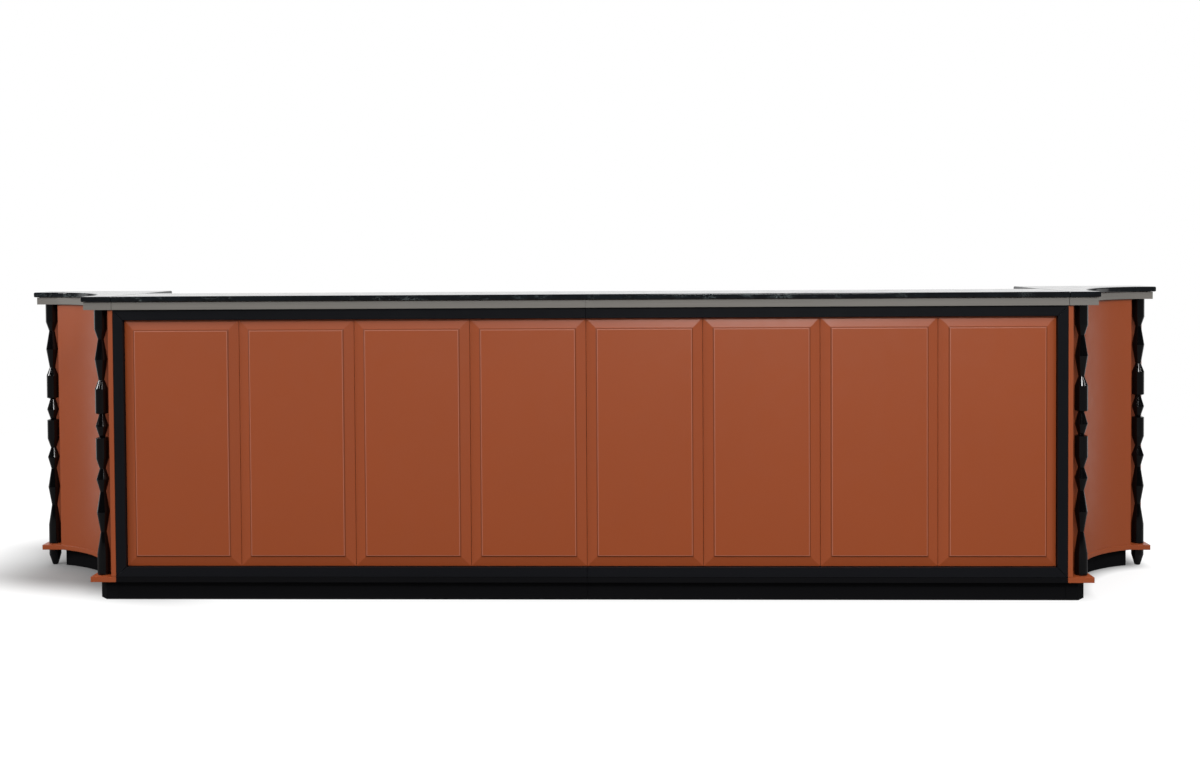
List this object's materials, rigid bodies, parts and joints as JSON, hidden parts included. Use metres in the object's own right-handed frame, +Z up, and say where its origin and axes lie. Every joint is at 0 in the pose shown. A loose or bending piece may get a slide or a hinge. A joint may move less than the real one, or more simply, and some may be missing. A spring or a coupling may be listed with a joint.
{
  "type": "reception desk",
  "caption": "Long standing-height reception counter with fielded front panels, dark stone top and concave ends with turned columns; worktops, drawers and cupboards on the staff side.",
  "frame": {"origin": "middle of the footprint, at floor level", "axes": "+X to the public's right along the counter, +Y from the public side to the staff side, +Z up"},
  "size_m": [4.4096, 0.6032, 1.1],
  "materials": {
    "terracotta_lacquer": "burnt orange satin lacquer on board",
    "black_lacquer": "black satin lacquer on board",
    "gloss_black_lacquer": "black gloss lacquer on turned wood",
    "taupe_lacquer": "taupe satin lacquer on board",
    "black_marble": "polished black marble with grey veins",
    "satin_steel": "satin steel"
  },
  "bodies": {
    "desk": {"back_board_left": "black_lacquer", "back_board_right": "black_lacquer", "bottom_rail_left": "black_lacquer", "bottom_rail_right": "black_lacquer", "centre_gable": "black_lacquer", "counter_base_left": "black_lacquer", "counter_base_right": "black_lacquer", "counter_board_left": "taupe_lacquer", "counter_board_right": "taupe_lacquer", "counter_plinth_left": "black_lacquer", "counter_plinth_right": "black_lacquer", "counter_slab": "black_marble", "front_column_left": "gloss_black_lacquer", "front_column_right": "gloss_black_lacquer", "front_panel_1": "terracotta_lacquer", "front_panel_2": "terracotta_lacquer", "front_panel_3": "terracotta_lacquer", "front_panel_4": "terracotta_lacquer", "front_panel_5": "terracotta_lacquer", "front_panel_6": "terracotta_lacquer", "front_panel_7": "terracotta_lacquer", "front_panel_8": "terracotta_lacquer", "pedestal_left": "black_lacquer", "pedestal_right": "black_lacquer", "rear_column_left": "gloss_black_lacquer", "rear_column_right": "gloss_black_lacquer", "rear_foot_left": "gloss_black_lacquer", "rear_foot_right": "gloss_black_lacquer", "stile_left": "black_lacquer", "stile_right": "black_lacquer", "top_rail_left": "black_lacquer", "top_rail_right": "black_lacquer", "wing_base_left": "terracotta_lacquer", "wing_base_right": "terracotta_lacquer", "wing_board_left": "taupe_lacquer", "wing_board_right": "taupe_lacquer", "wing_curved_panel_left": "terracotta_lacquer", "wing_curved_panel_right": "terracotta_lacquer", "wing_door_hinge_left": "satin_steel", "wing_door_hinge_right": "satin_steel", "wing_plinth_left": "black_lacquer", "wing_plinth_right": "black_lacquer", "wing_rear_stile_left": "terracotta_lacquer", "wing_rear_stile_right": "terracotta_lacquer", "wing_shelf_left": "black_lacquer", "wing_shelf_right": "black_lacquer", "wing_side_left": "terracotta_lacquer", "wing_side_right": "terracotta_lacquer", "wing_slab_left": "black_marble", "wing_slab_right": "black_marble", "worktop_left": "taupe_lacquer", "worktop_right": "taupe_lacquer"},
    "drawer_left_1": {"drawer_left_1": "terracotta_lacquer"},
    "drawer_left_2": {"drawer_left_2": "terracotta_lacquer"},
    "drawer_left_3": {"drawer_left_3": "terracotta_lacquer"},
    "drawer_right_1": {"drawer_right_1": "terracotta_lacquer"},
    "drawer_right_2": {"drawer_right_2": "terracotta_lacquer"},
    "drawer_right_3": {"drawer_right_3": "terracotta_lacquer"},
    "wing_door_left": {"wing_door_left": "terracotta_lacquer"},
    "wing_door_right": {"wing_door_right": "terracotta_lacquer"}
  },
  "joints": [
    {"name": "drawer_left_1_slide", "type": "slide", "parent": "desk", "child": "drawer_left_1", "axis": [0, 1, 0], "range_m": [0, 0.38]},
    {"name": "drawer_left_2_slide", "type": "slide", "parent": "desk", "child": "drawer_left_2", "axis": [0, 1, 0], "range_m": [0, 0.38]},
    {"name": "drawer_left_3_slide", "type": "slide", "parent": "desk", "child": "drawer_left_3", "axis": [0, 1, 0], "range_m": [0, 0.38]},
    {"name": "wing_door_left_hinge", "type": "hinge", "parent": "desk", "child": "wing_door_left", "pos_m": [-2.0586, 0.2913, 0.5715], "axis": [0, 0, 1], "range_deg": [0, 110]},
    {"name": "drawer_right_1_slide", "type": "slide", "parent": "desk", "child": "drawer_right_1", "axis": [0, 1, 0], "range_m": [0, 0.38]},
    {"name": "drawer_right_2_slide", "type": "slide", "parent": "desk", "child": "drawer_right_2", "axis": [0, 1, 0], "range_m": [0, 0.38]},
    {"name": "drawer_right_3_slide", "type": "slide", "parent": "desk", "child": "drawer_right_3", "axis": [0, 1, 0], "range_m": [0, 0.38]},
    {"name": "wing_door_right_hinge", "type": "hinge", "parent": "desk", "child": "wing_door_right", "pos_m": [2.0586, 0.2913, 0.5715], "axis": [0, 0, -1], "range_deg": [0, 110]}
  ]
}
